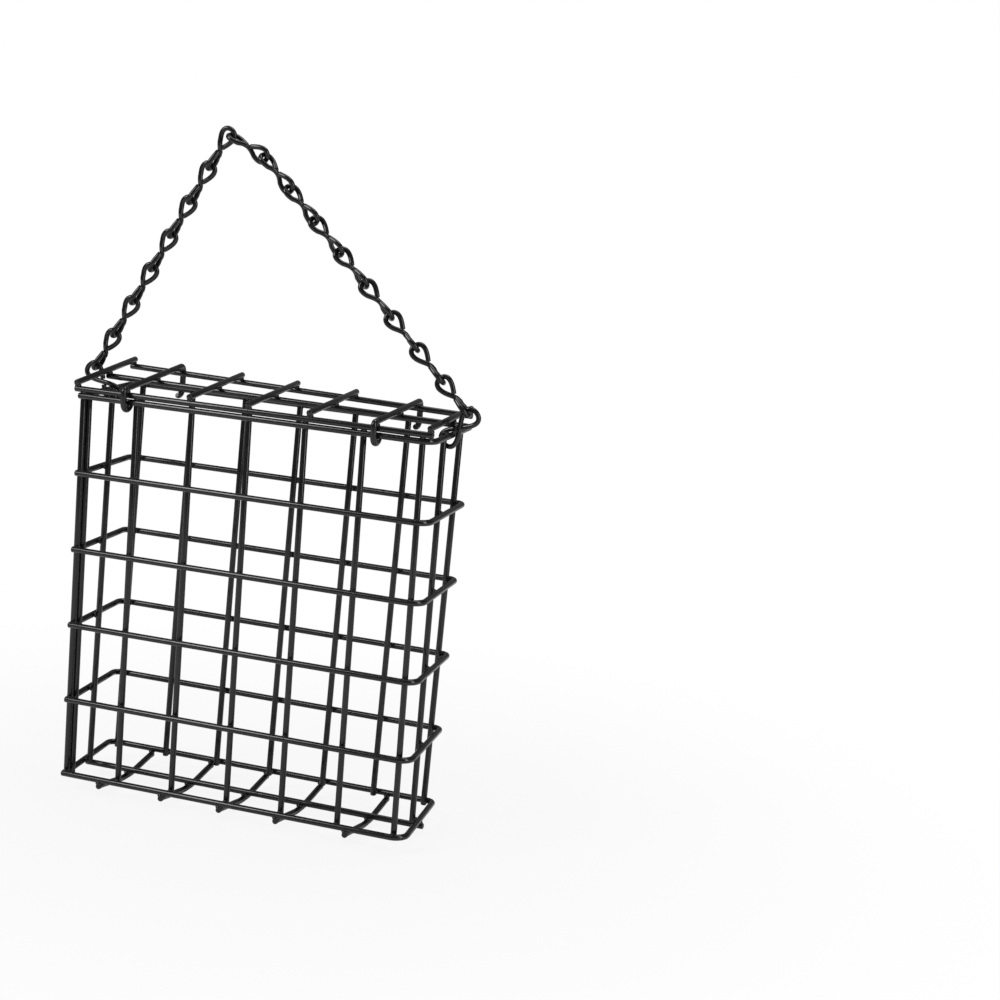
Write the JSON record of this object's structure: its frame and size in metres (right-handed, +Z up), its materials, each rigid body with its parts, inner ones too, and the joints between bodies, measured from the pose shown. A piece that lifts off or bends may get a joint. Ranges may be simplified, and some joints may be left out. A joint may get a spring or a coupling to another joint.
{
  "type": "suet feeder",
  "caption": "Flat wire cage that holds a suet cake for wild birds, with a hinged wire lid clipped over the rim and a chain to hang it by.",
  "frame": {"origin": "middle of the bounding box, on the surface under the floor's cross wires", "axes": "+Z up, X along the cage's width, the front wall with the latches faces -Y"},
  "size_m": [0.1476, 0.05, 0.2337],
  "materials": {
    "cage_coat": "gloss black powder coat",
    "lid_coat": "gloss black powder coat",
    "chain_coat": "gloss black coat"
  },
  "bodies": {
    "cage": {"bottom_loop": "cage_coat", "loop_2": "cage_coat", "loop_3": "cage_coat", "loop_4": "cage_coat", "loop_5": "cage_coat", "rim_loop": "cage_coat", "front_upright_1": "cage_coat", "front_upright_2": "cage_coat", "front_upright_3": "cage_coat", "front_upright_4": "cage_coat", "front_upright_5": "cage_coat", "front_upright_6": "cage_coat", "front_upright_7": "cage_coat", "back_upright_1": "cage_coat", "back_upright_2": "cage_coat", "back_upright_3": "cage_coat", "back_upright_4": "cage_coat", "back_upright_5": "cage_coat", "back_upright_6": "cage_coat", "back_upright_7": "cage_coat", "left_upright": "cage_coat", "right_upright": "cage_coat", "seam_upright": "cage_coat", "floor_cross_1": "cage_coat", "floor_cross_2": "cage_coat", "floor_cross_3": "cage_coat", "floor_cross_4": "cage_coat", "floor_cross_5": "cage_coat", "floor_rail": "cage_coat", "rim_link_left": "chain_coat", "rim_link_right": "chain_coat"},
    "lid": {"lid_rail_front": "lid_coat", "lid_rail_middle": "lid_coat", "lid_rail_back": "lid_coat", "lid_cross_1": "lid_coat", "lid_cross_2": "lid_coat", "lid_cross_3": "lid_coat", "lid_cross_4": "lid_coat", "lid_cross_5": "lid_coat", "lid_cross_6": "lid_coat", "lid_cross_7": "lid_coat", "lid_latch_left": "lid_coat", "lid_latch_right": "lid_coat"},
    "chain": {"chain_left_1": "chain_coat", "chain_left_2": "chain_coat", "chain_left_3": "chain_coat", "chain_left_4": "chain_coat", "chain_left_5": "chain_coat", "chain_left_6": "chain_coat", "chain_left_7": "chain_coat", "chain_right_1": "chain_coat", "chain_right_2": "chain_coat", "chain_right_3": "chain_coat", "chain_right_4": "chain_coat", "chain_right_5": "chain_coat", "chain_right_6": "chain_coat", "chain_right_7": "chain_coat", "chain_right_8": "chain_coat", "chain_right_9": "chain_coat"}
  },
  "joints": [
    {"name": "lid_hinge", "type": "hinge", "parent": "cage", "child": "lid", "pos_m": [0.0016, 0.0216, 0.13952], "axis": [-1, 0, 0], "range_deg": [0, 100], "deforming": ["lid_latch_left", "lid_latch_right", "chain_left_5", "chain_left_6", "chain_left_7", "chain_right_6", "chain_right_7", "chain_right_8", "chain_right_9"]},
    {"name": "chain_swing", "type": "hinge", "parent": "cage", "child": "chain", "pos_m": [-0.0004, 0.0001, 0.14797], "axis": [1, 0, 0.0003], "range_deg": [-70, 80]}
  ]
}
